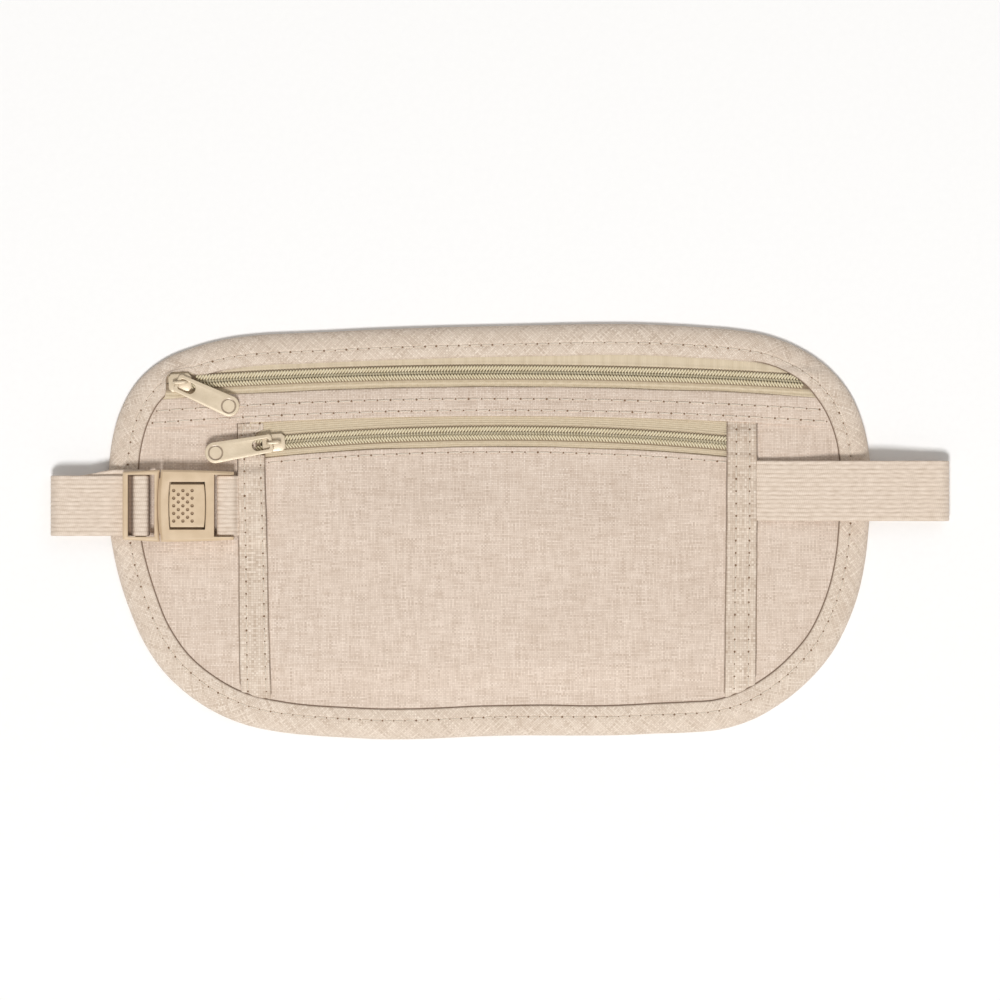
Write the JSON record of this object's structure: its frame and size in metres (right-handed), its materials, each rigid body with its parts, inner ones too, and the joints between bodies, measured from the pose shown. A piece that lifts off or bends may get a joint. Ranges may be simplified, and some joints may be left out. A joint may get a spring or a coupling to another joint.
{
  "type": "money belt",
  "caption": "Flat waist pouch with bound edge, two zipped pockets with sliders and pulls, and a webbing strap closed by a push-button buckle.",
  "frame": {"origin": "middle of the bounding box's base, on the plane that the belt's back lies on", "axes": "+X along the strap towards the wearer's left side, +Y to the pouch's top edge, +Z out of the pouch's front"},
  "size_m": [0.3434, 0.159, 0.0154],
  "materials": {
    "main_fabric": "slubby crosshatch weave, matt",
    "lining_fabric": "plain weave, matt",
    "binding_tape": "herringbone tape, matt",
    "webbing": "ribbed along its length, slight sheen",
    "zipper_tape": "fine knitted tape, matt",
    "zipper_coil": "satin nylon coil",
    "zipper_hardware": "satin paint over die-cast metal",
    "buckle_plastic": "fine moulded texture, satin",
    "thread": "twisted sewing thread"
  },
  "bodies": {
    "pouch": {"back_panel": "lining_fabric", "main_panel": "main_fabric", "front_pocket_panel": "main_fabric", "zipper_band": "main_fabric", "left_seam_tape": "binding_tape", "right_seam_tape": "binding_tape", "edge_binding": "binding_tape", "upper_zipper_tape_top": "zipper_tape", "upper_coil_top": "zipper_coil", "upper_zipper_tape_bottom": "zipper_tape", "upper_coil_bottom": "zipper_coil", "lower_zipper_tape_top": "zipper_tape", "lower_coil_top": "zipper_coil", "lower_zipper_tape_bottom": "zipper_tape", "lower_coil_bottom": "zipper_coil", "strap_right_run": "webbing", "strap_tab": "webbing", "buckle_socket": "buckle_plastic"},
    "upper_slider": {"upper_slider_body": "zipper_hardware", "upper_slider_crown": "zipper_hardware"},
    "upper_pull": {"upper_pull": "zipper_hardware"},
    "lower_slider": {"lower_slider_body": "zipper_hardware", "lower_slider_crown": "zipper_hardware"},
    "lower_pull": {"lower_pull": "zipper_hardware"},
    "push_button": {"push_button": "buckle_plastic"},
    "buckle_insert": {"buckle_insert": "buckle_plastic", "strap_left_run": "webbing", "strap_tail": "webbing"}
  },
  "joints": [
    {"name": "upper_slider_run", "type": "hinge", "parent": "pouch", "child": "upper_slider", "pos_m": [0, -1.8001, 0.0055], "axis": [0, 0, -1], "range_deg": [0, 6.95]},
    {"name": "upper_pull_flip", "type": "hinge", "parent": "upper_slider", "child": "upper_pull", "pos_m": [-0.123, 0.05683, 0.0089], "axis": [-0.4131, -0.9107, 0], "range_deg": [0, 170]},
    {"name": "lower_slider_run", "type": "hinge", "parent": "pouch", "child": "lower_slider", "pos_m": [0, -0.9383, 0.0073], "axis": [0, 0, -1], "range_deg": [0, 9.85]},
    {"name": "lower_pull_flip", "type": "hinge", "parent": "lower_slider", "child": "lower_pull", "pos_m": [-0.0873, 0.03379, 0.0107], "axis": [-0.1702, 0.9854, 0], "range_deg": [0, 170]},
    {"name": "button_press", "type": "slide", "parent": "pouch", "child": "push_button", "axis": [0, 0, -1], "range_m": [0, 0.0012], "stiffness_N_per_m": 800},
    {"name": "buckle_release", "type": "slide", "parent": "pouch", "child": "buckle_insert", "axis": [-1, 0, 0], "range_m": [0, 0.018]}
  ]
}
